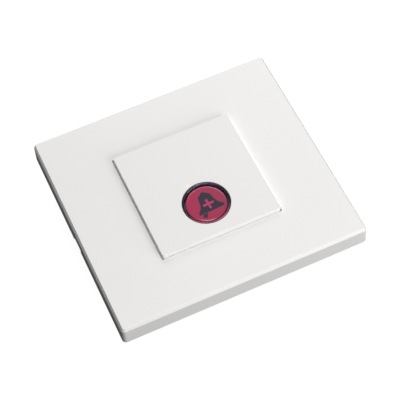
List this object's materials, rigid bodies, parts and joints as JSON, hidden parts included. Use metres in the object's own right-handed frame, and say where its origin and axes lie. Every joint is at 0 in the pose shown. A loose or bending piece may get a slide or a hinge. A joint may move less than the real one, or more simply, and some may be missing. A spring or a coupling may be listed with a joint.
{
  "type": "illuminated call button",
  "caption": "Flush-mounted call button: a bevelled white cover plate round a square module with a lit red push button that bears a bell, on a steel frame for a wall box.",
  "frame": {"origin": "centre of the plane that lies on the wall, which is also the centre of the circle of fixing holes", "axes": "+X right and +Y up as seen on the wall, +Z out of the wall towards the user"},
  "size_m": [0.0916, 0.0842, 0.0228],
  "materials": {
    "plate_plastic": "moulded gloss",
    "front_plastic": "moulded gloss",
    "housing_plastic": "moulded fine texture",
    "zinc_steel": "pressed and zinc plated",
    "red_lens": "moulded translucent gloss",
    "legend_ink": "filled legend",
    "milky_plastic": "moulded translucent",
    "spring_steel": "drawn wire",
    "board_laminate": "solder resist",
    "black_plastic": "moulded",
    "tinned_steel": "pressed and tinned",
    "brass": "pressed and plated",
    "lamp_plastic": "moulded",
    "can_aluminium": "drawn can",
    "terminal_plastic": "moulded"
  },
  "bodies": {
    "base": {"cover_plate": "plate_plastic", "mounting_frame": "zinc_steel", "module_front": "front_plastic", "module_housing": "housing_plastic", "light_ring": "red_lens", "return_spring": "spring_steel", "circuit_board": "board_laminate", "board_screws": "tinned_steel", "switch_body": "black_plastic", "switch_cover": "tinned_steel", "indicator_leds": "lamp_plastic", "controller_chip": "black_plastic", "driver_transistors": "black_plastic", "chip_resistors": "black_plastic", "filter_capacitor": "can_aluminium", "terminal_block": "terminal_plastic", "terminal_clamps": "brass", "terminal_screws": "tinned_steel"},
    "button": {"button_lens": "red_lens", "bell_symbol": "legend_ink", "diffuser_disc": "milky_plastic", "button_carrier": "milky_plastic"},
    "plunger": {"switch_plunger": "black_plastic"}
  },
  "joints": [
    {"name": "button_press", "type": "slide", "parent": "base", "child": "button", "axis": [0, 0, -1], "range_m": [0, 0.001], "stiffness_N_per_m": 1500, "springref_m": -0.00067, "deforming": ["return_spring"]},
    {"name": "plunger_press", "type": "slide", "parent": "base", "child": "plunger", "axis": [0, 0, -1], "range_m": [0, 0.00025]}
  ],
  "couplings": [
    {"joint": "plunger_press", "follows": "button_press", "ratio": 0.25}
  ]
}
